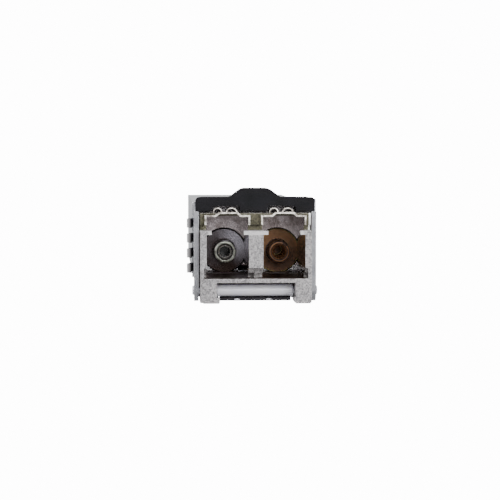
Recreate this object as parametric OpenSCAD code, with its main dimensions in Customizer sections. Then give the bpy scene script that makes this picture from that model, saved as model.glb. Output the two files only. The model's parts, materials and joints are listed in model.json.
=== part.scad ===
// Duplex optical transceiver module with a bail latch, in millimetres.
// +Z is up and the two ports face -Y. The origin is under the middle, level with the feet.
// A depth is a distance behind the front face of the nose.

/* [Body] */
// Length from the front of the nose to the end of the body
total_l = 56.5; // [56:0.1:57]
// Width of the body
body_w = 13.4; // [13.3:0.05:13.5]
// Height of the body
body_h = 8.55; // [8.5:0.05:8.6]
// Height of the body's underside above the feet
body_z = 2.2; // [2.1:0.05:2.3]
// Thickness of the base floor
floor_t = 0.6; // [0.5:0.05:0.65]
// Thickness of the base walls
wall_t = 0.5; // [0.4:0.05:0.6]
// Thickness of the top cover
cover_t = 0.3; // [0.2:0.05:0.4]
// Height of the base rim that the cover flaps stand on
rim_h = 1.0; // [0.8:0.1:1.2]
// Depth at which the floor ends, so that the connector reaches the card edge
floor_end = 45.6; // [45:0.2:46]

/* [Nose] */
// Width of the nose between the bail arms
nose_w = 12.3; // [12.2:0.05:12.35]
// Depth of the nose outside the shell
nose_l = 9.0; // [8.8:0.1:9.1]
// Depth of the tongue that reaches into the shell
tongue_end = 11.9; // [11.8:0.05:12]
// Thickness of the front frame
frame_t = 1.0; // [0.9:0.05:1.1]
// Depth of the wall between the hoods
wall_d = 1.6; // [1.5:0.05:1.7]
// Top of the nose under the grip
nose_top_z = 9.95; // [9.9:0.01:10]
// Depth of the shoulder behind the grip
shoulder_d = 4.7; // [4.6:0.05:4.8]
// Underside of the nose
nose_floor_z = 2.3; // [2.25:0.05:2.35]
// Half width of the window over the cam
window_r = 4.37; // [4.3:0.01:4.4]

/* [Ports] */
// Distance between the two optical axes
port_pitch = 6.25; // [6.2:0.05:6.3]
// Height of the optical axes
lc_z = 5.25; // [5.2:0.05:5.3]
// Width of a port
port_w = 4.65; // [4.6:0.05:4.7]
// Floor of a port
port_floor_z = 2.75; // [2.7:0.05:2.8]
// Underside of the latch ledges
ledge_z = 7.6; // [7.5:0.05:7.7]
// Top of the latch ledges
ledge_top_z = 8.05; // [8:0.01:8.1]
// Gap between the tips of two ledges
ledge_gap = 3.57; // [3.5:0.01:3.65]
// Half width of a latch hood
hood_r = 2.52; // [2.5:0.01:2.54]
// Top of a latch hood beside its raised middle
hood_z = 9.75; // [9.7:0.01:9.8]
// Rise of the middle of a latch hood
hood_rise = 0.33; // [0.25:0.01:0.35]
// Thickness of the hood sheet
hood_t = 0.2; // [0.15:0.01:0.25]
// Lower ends of the hood legs
hood_leg_z = 8.65; // [8.6:0.05:8.7]
// Depth of the rear edge of a hood
hood_end = 4.6; // [4.5:0.05:4.6]

/* [Optical sub-assemblies] */
// Depth of the tip of a receptacle
tip_d = 8.2; // [8.1:0.1:8.4]
// Outer radius of a receptacle tube
tube_r = 1.265; // [1.24:0.005:1.28]
// Radius of the mouth of a receptacle
mouth_r = 0.9; // [0.85:0.01:0.95]
// Radius of the bore for a ferrule
bore_r = 0.626; // [0.626:0.001:0.65]
// Depth of the end of the ferrule bore
bore_end = 12.6; // [12.4:0.1:12.8]
// Radius of a receptacle flange
flange_r = 2.575; // [2.5:0.005:2.6]
// Depth of the front of a flange
flange_d = 11.5; // [11.4:0.05:11.6]
// Thickness of a flange
flange_t = 1.4; // [1.3:0.05:1.5]
// Radius of the neck behind a flange
neck_r = 1.8; // [1.7:0.05:1.9]
// Radius of the transmitter can
tosa_r = 2.35; // [2.2:0.05:2.4]
// Radius of the receiver can
rosa_r = 2.1; // [2:0.05:2.2]

/* [Circuit board] */
// Thickness of the board
pcb_t = 1.0; // [0.9:0.1:1.1]
// Height of the board's underside above the body's underside
pcb_lift = 2.25; // [2.2:0.05:2.3]
// Width of the board
pcb_w = 11.4; // [11.2:0.1:11.6]
// Width of the card edge
edge_w = 9.2; // [9.1:0.05:9.3]
// Depths of the front of the board, the start of the card edge and its end
pcb_depths = [21, 44, 52.8]; // [20:0.1:54]
// Spacing of the contacts
contact_pitch = 0.8; // [0.8:0.01:0.81]
// Depth of the two cover screws
screw_d = 39; // [38:0.5:40]
// Distance of a cover screw from the middle
screw_x = 4.75; // [4.7:0.01:4.8]

/* [Cage collar] */
// Depths of the front and the rear of the collar
collar_depths = [9.2, 13.4]; // [9.1:0.1:13.6]
// Thickness of the collar sheet
collar_t = 0.15; // [0.1:0.01:0.15]
// Reach of a finger's crown beyond the body
crown = 0.8; // [0.7:0.05:0.85]
// Width of a finger
finger_w = 1.05; // [1:0.01:1.1]
// Spacing of the side fingers
finger_pitch = 1.74; // [1.7:0.01:1.76]
// Height of the lowest side finger
finger_z = 3.29; // [3.25:0.01:3.35]

/* [Bail] */
// Depth of the bail's pivot
bail_d = 3.0; // [2.95:0.05:3.05]
// Height of the bail's pivot
bail_z = 1.28; // [1.25:0.01:1.3]
// Radius of the bail's shaft
shaft_r = 0.36; // [0.34:0.01:0.38]
// Radius of the rivet heads
rivet_r = 0.58; // [0.55:0.01:0.6]
// Radius of the cam
cam_r = 0.68; // [0.66:0.01:0.7]
// Offset of the cam from the shaft
cam_offset = 0.2; // [0.18:0.01:0.2]
// Thickness of the arms
arm_t = 0.5; // [0.4:0.05:0.55]
// Half width of an arm, and the radius of its lower end
arm_r = 1.2; // [1.1:0.05:1.2]
// Gap between an arm and the nose
arm_gap = 0.15; // [0.1:0.01:0.15]
// Underside and top of the grip
grip_heights = [10.17, 11.72]; // [10:0.01:12]
// Depths of the front and the rear of the grip
grip_depths = [2.0, 4.4]; // [1.9:0.05:4.5]
// Height of the thumb bump
bump_h = 1.0; // [0.8:0.05:1.1]
// Half width of the flat top of the bump
bump_flat = 1.5; // [1.2:0.05:1.5]
// Half width of the foot of the bump
bump_foot = 2.85; // [2.7:0.01:3]

/* [Latch] */
// Depth of the lever's pivot
lever_d = 5.4; // [5.35:0.05:5.45]
// Height of the lever's pivot
lever_z = 1.45; // [1.42:0.01:1.48]
// Radius of the lever's pin
pin_r = 0.4; // [0.38:0.01:0.42]
// Running clearance of a pin in its bore
clearance = 0.03; // [0.02:0.01:0.05]
// Depths of the latch boss
boss_depths = [11.6, 13.4]; // [11.5:0.1:13.5]
// Width of the latch boss
boss_w = 2.6; // [2.5:0.05:2.6]
// Reach of the boss below the body
boss_drop = 0.45; // [0.4:0.01:0.5]

/* [Hidden] */
$fn = 48;

// Reach of a cutting solid beyond the face that it opens
cut = 0.1;
front_y = -total_l / 2;
body_r = body_w / 2;
body_top_z = body_z + body_h;
floor_z = body_z + floor_t;
shell_r = body_r - cover_t;
cavity_r = shell_r - wall_t;
roof_z = body_top_z - cover_t;
port_x = port_pitch / 2;
pcb_z = body_z + pcb_lift;
pcb_top_z = pcb_z + pcb_t;
nose_r = nose_w / 2;
arm_x = nose_r + arm_gap;
bail_r = arm_x + arm_t;
flange_back = flange_d + flange_t;
seat_r = flange_r + 0.085;

// Width and top of the slot in which the lever's rear arm rises
slot_r = 0.5;
slot_top_z = 3.45;
lever_arm_r = 0.4;

// Post of a cover screw
post_r = 1.05;
screw_r = 0.5;
screw_head_r = 1.0;

// A box given by its two ends in X, in depth and in Z
module slab(x, d, z)
    translate([x[0], front_y + d[0], z[0]])
        cube([x[1] - x[0], d[1] - d[0], z[1] - z[0]]);

// A box that is the same on both sides of the middle
module wide_slab(r, d, z)
    slab([-r, r], d, z);

// An outline in X and Z, run from one depth to another
module along_d(d0, d1)
    translate([0, front_y + d1, 0])
        rotate([90, 0, 0])
            linear_extrude(d1 - d0)
                children();

// An outline in depth and Z, run from one X to another
module along_x(x0, x1)
    translate([x0, front_y, 0])
        rotate([90, 0, 90])
            linear_extrude(x1 - x0)
                children();

// A cylinder or a cone along the depth
module round_d(x, z, d, r_front, r_back)
    translate([x, front_y + d[1], z])
        rotate([90, 0, 0])
            cylinder(r1 = r_back, r2 = r_front, h = d[1] - d[0]);

// A cylinder along X
module round_x(d, z, r, x)
    translate([x[0], front_y + d, z])
        rotate([0, 90, 0])
            cylinder(r = r, h = x[1] - x[0]);

// Points of an arc in a plane, from one angle to another
function arc(cx, cy, r, a0, a1, steps) =
    [for (i = [0:steps]) let (a = a0 + (a1 - a0) * i / steps) [cx + r * cos(a), cy + r * sin(a)]];

function mirrored(points) =
    [for (i = [len(points) - 1:-1:0]) [-points[i][0], points[i][1]]];

// ---- Nose ----

foot_lip_z = 0.66;
foot_lip_x = 4.0;
foot_chamfer = 0.35;
low_shoulder_x = 6.5;
low_shoulder_z = 0.4;
cheek_d = 4.2;
cheek_x = 4.0;
top_chamfer = 0.15;
recess_x = 5.77;
recess_top_z = 3.95;
rib_top_z = 3.37;
rib_r = 0.2;
recess_d = 0.8;
pocket_d = 2.4;
groove_d = 2.4;
skirt_end = 7.2;

module frame_outline()
    polygon([
        [-nose_r + foot_chamfer, 0],
        [-foot_lip_x - 0.1, 0],
        [-foot_lip_x, 0.12],
        [-foot_lip_x, foot_lip_z],
        [-window_r, foot_lip_z],
        [-window_r, nose_floor_z],
        [window_r, nose_floor_z],
        [window_r, foot_lip_z],
        [foot_lip_x, foot_lip_z],
        [window_r + 0.05, 0],
        [nose_r - foot_chamfer / 2, 0],
        [nose_r, foot_chamfer / 2],
        [nose_r, ledge_top_z - top_chamfer],
        [nose_r - top_chamfer, ledge_top_z],
        [-nose_r + top_chamfer, ledge_top_z],
        [-nose_r, ledge_top_z - top_chamfer],
        [-nose_r, foot_chamfer]
    ]);

module skirt_outline()
    polygon([
        [frame_t, 0],
        [4.3, 0],
        [5.0, latch_plate_z[1]],
        [skirt_end, latch_plate_z[1]],
        [skirt_end, nose_floor_z],
        [frame_t, nose_floor_z]
    ]);

// Shoulder below the body, behind the end of a bail arm
module low_shoulder_outline()
    polygon([
        [shoulder_d, low_shoulder_z],
        [skirt_end - 0.5, low_shoulder_z],
        [skirt_end, low_shoulder_z + 0.5],
        [skirt_end, nose_floor_z],
        [shoulder_d, nose_floor_z]
    ]);

// Cheek beside the end of the lever, behind the cam
module cheek_outline()
    polygon([
        [cheek_d, foot_lip_z / 2],
        [cheek_d + 0.6, foot_lip_z / 2],
        [5.0, latch_plate_z[1]],
        [skirt_end, latch_plate_z[1]],
        [skirt_end, nose_floor_z],
        [cheek_d, nose_floor_z]
    ]);

module port_cut(x) {
    port_r = port_w / 2;
    slab([x - port_r, x + port_r], [-cut, tongue_end + cut], [port_floor_z, ledge_z]);
    slab([x - ledge_gap / 2, x + ledge_gap / 2], [-cut, frame_t + cut], [ledge_z - cut, ledge_top_z + cut]);
    slab([x - port_r, x + port_r], [frame_t, tongue_end + cut], [ledge_z - cut, hood_z - hood_t]);
    translate([x, 0, 0])
        along_d(frame_t - cut, hood_end)
            hood_outline(0);
    round_d(x, lc_z, [flange_d, tongue_end + cut], seat_r, seat_r);
}

module nose_housing() color([0.66, 0.66, 0.67]) difference() {
    union() {
        along_d(0, frame_t)
            frame_outline();
        wide_slab(nose_r, [frame_t, shoulder_d], [nose_floor_z, ledge_top_z]);
        wide_slab(nose_r, [wall_d, shoulder_d], [ledge_top_z, nose_top_z]);
        wide_slab(body_r, [shoulder_d, nose_l], [nose_floor_z, body_top_z]);
        wide_slab(cavity_r, [nose_l, tongue_end], [floor_z, roof_z]);
        along_x(-nose_r, -window_r)
            skirt_outline();
        along_x(window_r, nose_r)
            skirt_outline();
        along_x(-low_shoulder_x, cut - nose_r)
            low_shoulder_outline();
        along_x(nose_r - cut, low_shoulder_x)
            low_shoulder_outline();
        along_x(-window_r, -cheek_x)
            cheek_outline();
        along_x(cheek_x, window_r)
            cheek_outline();
    }
    for (x = [-port_x, port_x])
        port_cut(x);
    // Shadow groove between the ledges and the hood wall
    wide_slab(nose_r + cut, [frame_t, groove_d], [ledge_top_z, hood_leg_z]);
    // Recessed lower part of the posts, with pockets beside the rib
    wide_slab(recess_x, [-cut, recess_d], [port_floor_z, recess_top_z]);
    slab([-recess_x, -rib_r], [recess_d - cut, pocket_d], [port_floor_z, rib_top_z]);
    slab([rib_r, recess_x], [recess_d - cut, pocket_d], [port_floor_z, rib_top_z]);
    // Slot for the lever's rear arm
    wide_slab(slot_r, [7.1, tongue_end + cut], [nose_floor_z - cut, slot_top_z]);
    boss_relief([boss_slot[0], tongue_end + cut]);
    round_x(bail_d, bail_z, shaft_r + clearance, [-nose_r - cut, nose_r + cut]);
    round_x(lever_d, lever_z, pin_r, [-nose_r - cut, nose_r + cut]);
    for (x = [-latch_rivets[0], latch_rivets[0]])
        translate([x, front_y + latch_rivets[1], latch_plate_z[1] - cut])
            cylinder(r = latch_rivet_r, h = latch_plate_z[0] - latch_plate_z[1] + 1.15 + cut);
}

// Outline of a hood with its sheet taken off, about the middle of its port
raised_x = [-1.35, -0.95, 1.15, 1.5];

module hood_outline(inset) {
    side = hood_r - inset;
    top = hood_z - inset;
    raised = hood_z + hood_rise - inset;
    slope = inset * 0.45;
    polygon([
        [-side, hood_leg_z],
        [side, hood_leg_z],
        [side, top],
        [raised_x[3] - slope, top],
        [raised_x[2] - slope, raised],
        [raised_x[1] + slope, raised],
        [raised_x[0] + slope, top],
        [-side, top]
    ]);
}

// Arched bosses on a hood, under the notch in the grip: the middle and the radius of each
boss_t = 0.12;
hood_bosses = [[-1.07, 0.52], [0.48, 0.68]];
boss_front = 1.75;
boss_top_z = 10.55;

module hood_boss(x, r)
    along_d(boss_front, hood_end) difference() {
        translate([x, boss_top_z - r])
            circle(r);
        translate([x, boss_top_z - r])
            circle(r - boss_t);
        translate([x - r - cut, nose_top_z - 2 * r])
            square([2 * (r + cut), 2 * r]);
    }

module latch_hood(x) translate([x, 0, 0]) color([0.78, 0.77, 0.75]) {
    along_d(frame_t, hood_end) difference() {
        hood_outline(0);
        translate([0, -cut])
            hood_outline(hood_t);
        hood_outline(hood_t);
    }
    for (b = hood_bosses)
        hood_boss(b[0], b[1]);
}

module latch_hood_left()
    latch_hood(-port_x);

module latch_hood_right()
    latch_hood(port_x);

// ---- Shell ----

tail_step = 0.5;
rail_x = 5.2;
rail_depths = [22, 44];
boss_slot_r = boss_w / 2 + 0.1;
boss_slot = [boss_depths[0] - 0.15, boss_depths[1] + 0.2];

module base_housing() color([0.62, 0.63, 0.65]) {
    difference() {
        union() {
            wide_slab(body_r, [nose_l, total_l - tail_step], [body_z, body_z + rim_h]);
            wide_slab(shell_r, [nose_l, total_l], [body_z, roof_z]);
        }
        wide_slab(cavity_r, [nose_l - cut, total_l + cut], [floor_z, roof_z + cut]);
        wide_slab(cavity_r, [floor_end, total_l + cut], [body_z - cut, floor_z + cut]);
        wide_slab(slot_r, [nose_l - cut, boss_slot[0] + cut], [body_z - cut, floor_z + cut]);
        wide_slab(boss_slot_r, boss_slot, [body_z - cut, floor_z + cut]);
        for (x = [-port_x, port_x])
            round_d(x, lc_z, [flange_d - cut, flange_back + cut], seat_r, seat_r);
        for (x = [-screw_x, screw_x])
            translate([x, front_y + screw_d, body_z])
                cylinder(r = screw_r, h = floor_t + cut);
    }
    for (side = [-1, 1]) {
        x = side * rail_x;
        slab([min(x, side * cavity_r), max(x, side * cavity_r)], rail_depths, [floor_z, pcb_z]);
        difference() {
            translate([side * screw_x, front_y + screw_d, floor_z])
                cylinder(r = post_r, h = roof_z - floor_z);
            translate([side * screw_x, front_y + screw_d, floor_z - cut])
                cylinder(r = screw_r, h = body_h);
        }
    }
    // Saddles under the two flanges
    difference() {
        wide_slab(cavity_r, [tongue_end, plate_end], [floor_z, relief_z]);
        wide_slab(boss_slot_r + cut, [tongue_end - cut, plate_end + cut], [floor_z, relief_z + cut]);
        for (x = [-port_x, port_x])
            round_d(x, lc_z, [tongue_end - cut, plate_end + cut], seat_r, seat_r);
    }
}

module top_cover() color([0.74, 0.75, 0.77]) difference() {
    wide_slab(body_r, [nose_l, total_l - tail_step], [body_z + rim_h, body_top_z]);
    wide_slab(shell_r, [nose_l - cut, total_l], [body_z, roof_z]);
    for (x = [-screw_x, screw_x])
        translate([x, front_y + screw_d, roof_z - cut / 2])
            cylinder(r1 = screw_r, r2 = screw_head_r + cut / 2, h = cover_t + cut);
}

label_t = 0.06;

module top_label() color("white")
    wide_slab(5.2, [16, 36], [body_top_z, body_top_z + label_t]);

screw_l = 3.2;

module cover_screws() color([0.3, 0.3, 0.32])
    for (x = [-screw_x, screw_x])
        translate([x, front_y + screw_d, 0]) difference() {
            union() {
                translate([0, 0, roof_z])
                    cylinder(r1 = screw_r, r2 = screw_head_r, h = cover_t);
                translate([0, 0, roof_z - screw_l])
                    cylinder(r = screw_r, h = screw_l + cover_t / 2);
            }
            for (turn = [0, 90])
                rotate([0, 0, turn])
                    translate([-0.6, -0.09, body_top_z - 0.2])
                        cube([1.2, 0.18, 1]);
        }

// ---- Cage collar ----

collar_band = 0.9;
top_fingers = [-4.8, -1.6, 1.6, 4.8];
bottom_fingers = [-4.8, -2.9, 2.9, 4.8];
roof_crown = 0.6;

// Points of a finger in depth and height above its wall, rooted in the rear band
function finger_points(rise) =
    let (tip = collar_depths[0], root = collar_depths[1] - collar_band / 2, top = tip + 0.8) [
        [root, 0],
        [root, collar_t],
        [top + 0.5, rise],
        [top, rise],
        [tip, rise * 0.45],
        [tip + 0.15, rise * 0.45 - collar_t],
        [top + 0.1, rise - collar_t],
        [top + 0.4, rise - collar_t],
        [root - 0.6, 0]
    ];

module side_finger(side, z)
    translate([0, front_y, z - finger_w / 2])
        linear_extrude(finger_w)
            polygon([for (p = finger_points(crown)) [side * (body_r + p[1]), p[0]]]);

module roof_finger(x)
    along_x(x - finger_w / 2, x + finger_w / 2)
        polygon([for (p = finger_points(roof_crown)) [p[0], body_top_z + p[1]]]);

module floor_finger(x)
    along_x(x - finger_w / 2, x + finger_w / 2)
        polygon([for (p = finger_points(roof_crown)) [p[0], body_z - p[1]]]);

module emi_collar() color([0.72, 0.72, 0.72]) {
    difference() {
        wide_slab(body_r + collar_t, [collar_depths[1] - collar_band, collar_depths[1]],
            [body_z - collar_t, body_top_z + collar_t]);
        wide_slab(body_r, [0, total_l], [body_z, body_top_z]);
        wide_slab(boss_slot_r + cut, [0, total_l], [0, body_z + cut]);
    }
    for (side = [-1, 1])
        for (i = [0:3])
            side_finger(side, finger_z + i * finger_pitch);
    for (x = top_fingers)
        roof_finger(x);
    for (x = bottom_fingers)
        floor_finger(x);
}

// ---- Optical sub-assemblies ----

plate_end = 12.5;
clamp_end = 14.2;
neck_end = 14.8;
sleeve_r = 0.8;
sleeve_front = 8.9;
stub_end = 14.6;
relief_z = 3.5;
tosa_end = 18.8;
rosa_end = 17.8;
header_t = 0.5;
header_rim = 0.1;
lead_r = 0.18;
lead_l = 0.35;
lead_circle_r = 1.1;
flex_t = 0.12;
flex_r = 1.6;

module boss_relief(d)
    wide_slab(boss_slot_r + cut, d, [floor_z - cut, relief_z]);

module emi_plate() color([0.8, 0.8, 0.8]) difference() {
    wide_slab(cavity_r, [tongue_end, plate_end], [relief_z, roof_z]);
    for (x = [-port_x, port_x])
        round_d(x, lc_z, [tongue_end - cut, plate_end + cut], seat_r, seat_r);
}

module osa_clamp() color([0.55, 0.56, 0.58]) difference() {
    wide_slab(cavity_r, [flange_back, clamp_end], [floor_z, 9]);
    for (x = [-port_x, port_x]) {
        round_d(x, lc_z, [flange_back - cut, clamp_end + cut], neck_r, neck_r);
        slab([x - neck_r, x + neck_r], [flange_back - cut, clamp_end + cut], [floor_z - cut, lc_z]);
    }
    boss_relief([flange_back - cut, clamp_end + cut]);
}

// Tube, flange and neck of a receptacle, without its bore
module receptacle_blank(x) {
    round_d(x, lc_z, [tip_d, flange_d], tube_r, tube_r);
    round_d(x, lc_z, [flange_d, flange_back], flange_r, flange_r);
    round_d(x, lc_z, [flange_back, neck_end], neck_r, neck_r);
}

module tosa_receptacle() color([0.75, 0.74, 0.72]) difference() {
    receptacle_blank(-port_x);
    round_d(-port_x, lc_z, [tip_d - cut, tip_d + 0.4], mouth_r + cut / 4, sleeve_r);
    round_d(-port_x, lc_z, [tip_d, stub_end], sleeve_r, sleeve_r);
}

module tosa_sleeve() color("ivory") difference() {
    round_d(-port_x, lc_z, [sleeve_front, bore_end], sleeve_r, sleeve_r);
    round_d(-port_x, lc_z, [sleeve_front - cut, bore_end + cut], bore_r, bore_r);
}

module tosa_stub() color([0.3, 0.3, 0.32])
    round_d(-port_x, lc_z, [bore_end, stub_end], sleeve_r, sleeve_r);

module rosa_receptacle() color([0.55, 0.33, 0.1]) difference() {
    receptacle_blank(port_x);
    round_d(port_x, lc_z, [tip_d - cut, tip_d + 0.4], mouth_r + cut / 4, bore_r);
    round_d(port_x, lc_z, [tip_d, bore_end], bore_r, bore_r);
}

// A can with its header and leads
module osa_can(x, r, end) {
    round_d(x, lc_z, [neck_end, end], r, r);
    round_d(x, lc_z, [end, end + header_t], r + header_rim, r + header_rim);
    for (a = [45:90:315])
        round_d(x + lead_circle_r * cos(a), lc_z + lead_circle_r * sin(a),
            [end + header_t, end + header_t + lead_l], lead_r, lead_r);
}

module tosa_can() color([0.8, 0.72, 0.5])
    osa_can(-port_x, tosa_r, tosa_end);

module rosa_can() color([0.8, 0.72, 0.5])
    osa_can(port_x, rosa_r, rosa_end);

// Outline of a strip of even thickness along a line of points
function unit(v) = v / norm(v);
function side_step(points, i) =
    let (a = unit(points[min(i + 1, len(points) - 1)] - points[max(i - 1, 0)])) [-a[1], a[0]];
function ribbon(points, t) = concat(
    [for (i = [0:len(points) - 1]) points[i] + side_step(points, i) * t / 2],
    [for (i = [len(points) - 1:-1:0]) points[i] - side_step(points, i) * t / 2]
);

// A flex from the back of a can, over a bend and down to the board
module osa_flex(x, end) {
    d = end + header_t + lead_l + flex_t / 2;
    top = lc_z + 2;
    land = pcb_top_z + flex_t / 2;
    along_x(x - flex_r, x + flex_r)
        polygon(ribbon(concat(
            [[d, lc_z - 1.7]],
            arc(d + 0.4, top, 0.4, 180, 45, 6),
            arc(22.4, land + 0.5, 0.5, 225, 270, 4),
            [[23.4, land]]
        ), flex_t));
}

module tosa_flex() color([0.75, 0.45, 0.1])
    osa_flex(-port_x, tosa_end);

module rosa_flex() color([0.75, 0.45, 0.1])
    osa_flex(port_x, rosa_end);

// ---- Circuit board ----

edge_chamfer = 0.3;
pad_w = 0.6;
pad_t = 0.05;
pads = 10;
chip_h = 0.9;

module pcb() color([0.08, 0.35, 0.15]) difference() {
    translate([0, front_y, pcb_z])
        linear_extrude(pcb_t)
            polygon([
                [-pcb_w / 2, pcb_depths[0]],
                [pcb_w / 2, pcb_depths[0]],
                [pcb_w / 2, pcb_depths[1]],
                [edge_w / 2, pcb_depths[1]],
                [edge_w / 2, pcb_depths[2] - edge_chamfer],
                [edge_w / 2 - edge_chamfer, pcb_depths[2]],
                [edge_chamfer - edge_w / 2, pcb_depths[2]],
                [-edge_w / 2, pcb_depths[2] - edge_chamfer],
                [-edge_w / 2, pcb_depths[1]],
                [-pcb_w / 2, pcb_depths[1]]
            ]);
    for (x = [-screw_x, screw_x])
        translate([x, front_y + screw_d, 0])
            cylinder(r = post_r + cut, h = body_h);
}

// Ground contacts reach further towards the edge and mate first
module contacts(z)
    for (i = [0:pads - 1]) {
        x = (i - (pads - 1) / 2) * contact_pitch;
        end = pcb_depths[2] - (i % 3 == 0 ? 0.4 : 0.8);
        slab([x - pad_w / 2, x + pad_w / 2], [end - 2.6, end], [z, z + pad_t]);
    }

module contacts_top() color("gold")
    contacts(pcb_top_z);

module contacts_bottom() color("gold")
    contacts(pcb_z - pad_t);

driver_box = [[-4, 0], [25, 29]];

module laser_driver() color([0.12, 0.12, 0.13])
    slab(driver_box[0], driver_box[1], [pcb_z - chip_h, pcb_z]);

module thermal_pad() color([0.6, 0.65, 0.8])
    slab(driver_box[0], driver_box[1], [floor_z, pcb_z - chip_h]);

module post_amplifier() color([0.12, 0.12, 0.13])
    slab([1.6, 4.6], [26, 29], [pcb_top_z, pcb_top_z + chip_h]);

module microcontroller() color([0.12, 0.12, 0.13])
    slab([-2.5, 2.5], [32, 37], [pcb_top_z, pcb_top_z + chip_h]);

// A row of small parts: first X, spacing, count and depth
passive_rows = [[-4.5, 1.25, 8, 30.2], [-3, 1, 7, 38.4], [-4.2, 1.4, 7, 42]];

module passives() color([0.6, 0.5, 0.38])
    for (row = passive_rows)
        for (i = [0:row[2] - 1]) {
            x = row[0] + i * row[1];
            slab([x - 0.25, x + 0.25], [row[3], row[3] + 1], [pcb_top_z, pcb_top_z + 0.5]);
        }

// ---- Latch ----

latch_plate_z = [0.4, 0.65];
latch_rivets = [5.15, 6.45];
latch_rivet_r = 0.3;
barrel_r = 0.72;
lever_r = 3.95;
lever_plate_z = [0.18, 0.5];
arm_z = [2.28, 2.7];

module latch_plate() color([0.45, 0.45, 0.47]) difference() {
    wide_slab(nose_r - 0.1, [5.15, skirt_end - 0.1], latch_plate_z);
    for (x = [-latch_rivets[0], latch_rivets[0]])
        translate([x, front_y + latch_rivets[1], 0])
            cylinder(r = latch_rivet_r, h = 1);
}

module latch_plate_rivets() color([0.7, 0.7, 0.7])
    for (x = [-latch_rivets[0], latch_rivets[0]])
        translate([x, front_y + latch_rivets[1], 0]) {
            translate([0, 0, latch_plate_z[0] - 0.15])
                cylinder(r = 2 * latch_rivet_r, h = 0.15);
            translate([0, 0, latch_plate_z[0] - 0.05])
                cylinder(r = latch_rivet_r, h = 1.2);
        }

module latch_pin() color([0.6, 0.6, 0.62])
    round_x(lever_d, lever_z, pin_r, [0.05 - nose_r, nose_r - 0.05]);

module latch_lever() color([0.35, 0.35, 0.37]) difference() {
    union() {
        along_x(-lever_r, lever_r)
            polygon([
                [2.0, lever_plate_z[0]],
                [3.9, lever_plate_z[0]],
                [5.1, 0.82],
                [5.1, 2.0],
                [4.7, 1.7],
                [3.75, lever_plate_z[1]],
                [2.0, lever_plate_z[1]]
            ]);
        round_x(lever_d, lever_z, barrel_r, [-lever_r, lever_r]);
        along_x(-lever_arm_r, lever_arm_r)
            polygon([
                [5.6, 0.95],
                [7.3, 1.2],
                [8.4, arm_z[0]],
                [boss_depths[0] + 0.2, arm_z[0]],
                [boss_depths[0] + 0.2, arm_z[1]],
                [8.1, arm_z[1]],
                [7.05, 1.95],
                [5.6, 1.95]
            ]);
        along_x(-boss_w / 2, boss_w / 2)
            polygon([
                [boss_depths[0], body_z - boss_drop],
                [boss_depths[1] - boss_drop, body_z - boss_drop],
                [boss_depths[1], body_z],
                [boss_depths[1], arm_z[1] - 0.1],
                [boss_depths[0], arm_z[1] - 0.1]
            ]);
    }
    round_x(lever_d, lever_z, pin_r + clearance, [-lever_r - cut, lever_r + cut]);
}

// Bowed leaf between the lever's arm and the top of its slot
leaf_t = 0.12;
leaf_bow_r = 1.6;

module latch_spring() color([0.8, 0.8, 0.82])
    along_x(-0.4, 0.4)
        polygon(ribbon(arc(9.6, slot_top_z - leaf_t / 2 - leaf_bow_r, leaf_bow_r, 90, 37, 8), leaf_t));

// ---- Bail ----

arm_top_z = 11.5;
arm_step_z = 10.1;
skin_t = 0.35;
skin_r = 6.65;
bar_d = [2.8, 4.0];
bar_z = [10.85, 11.35];
corner_r = 0.45;
bump_bends = [0.5, 1.2];
notch = [-1.72, 1.42];
notch_z = 10.75;
head_t = 0.2;
cam_half = 4.28;
cam_chamfer = 0.1;

module arm_outline() {
    step_d = grip_depths[0] + skin_t;
    polygon(concat(
        arc(bail_d, bail_z, arm_r, 180, 360, 24),
        [
            [bail_d + arm_r, arm_top_z - 0.3],
            [bail_d + arm_r - 0.3, arm_top_z],
            [step_d + 0.3, arm_top_z],
            [step_d, arm_top_z - 0.3],
            [step_d, arm_step_z],
            [bail_d - arm_r, arm_step_z]
        ]
    ));
}

module bail_frame() color([0.7, 0.71, 0.73]) {
    for (x = [-bail_r, arm_x])
        difference() {
            along_x(x, x + arm_t)
                arm_outline();
            round_x(bail_d, bail_z, shaft_r, [x - cut, x + arm_t + cut]);
        }
    wide_slab(arm_x + cut, bar_d, bar_z);
}

// Right half of the grip's upper outline: the corner, then the slope of the bump with its two bends
function grip_half(r) =
    let (
        top = grip_heights[1],
        slope = atan2(bump_h, bump_foot - bump_flat),
        foot_x = bump_foot + bump_bends[0] * tan(slope / 2),
        flat_x = bump_flat - bump_bends[1] * tan(slope / 2)
    ) concat(
        [[r, grip_heights[0]]],
        arc(r - corner_r, top - corner_r, corner_r, 0, 90, 8),
        arc(foot_x, top + bump_bends[0], bump_bends[0], 270, 270 - slope, 8),
        arc(flat_x, top + bump_h - bump_bends[1], bump_bends[1], 90 - slope, 90, 8)
    );

module grip_outline(r)
    polygon(concat(grip_half(r), mirrored(grip_half(r))));

module bail_grip() color([0.05, 0.05, 0.06]) difference() {
    union() {
        along_d(grip_depths[0], grip_depths[0] + skin_t)
            grip_outline(skin_r);
        along_d(grip_depths[0] + skin_t, grip_depths[1])
            grip_outline(arm_x);
    }
    wide_slab(arm_x + cut, bar_d, bar_z);
    for (x = [-port_x, port_x])
        along_d(grip_depths[0] - cut, grip_depths[1] + cut)
            polygon([
                [x + notch[0], grip_heights[0] - cut],
                [x + notch[1], grip_heights[0] - cut],
                [x + notch[1], notch_z - 0.15],
                [x + notch[1] - 0.15, notch_z],
                [x + notch[0] + 0.15, notch_z],
                [x + notch[0], notch_z - 0.15]
            ]);
}

module bail_shaft() color([0.75, 0.75, 0.77]) {
    round_x(bail_d, bail_z, shaft_r, [-bail_r, bail_r]);
    for (side = [-1, 1])
        translate([side * bail_r, front_y + bail_d, bail_z])
            rotate([0, side * 90, 0])
                cylinder(r1 = rivet_r, r2 = rivet_r - 0.12, h = head_t);
}

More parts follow.
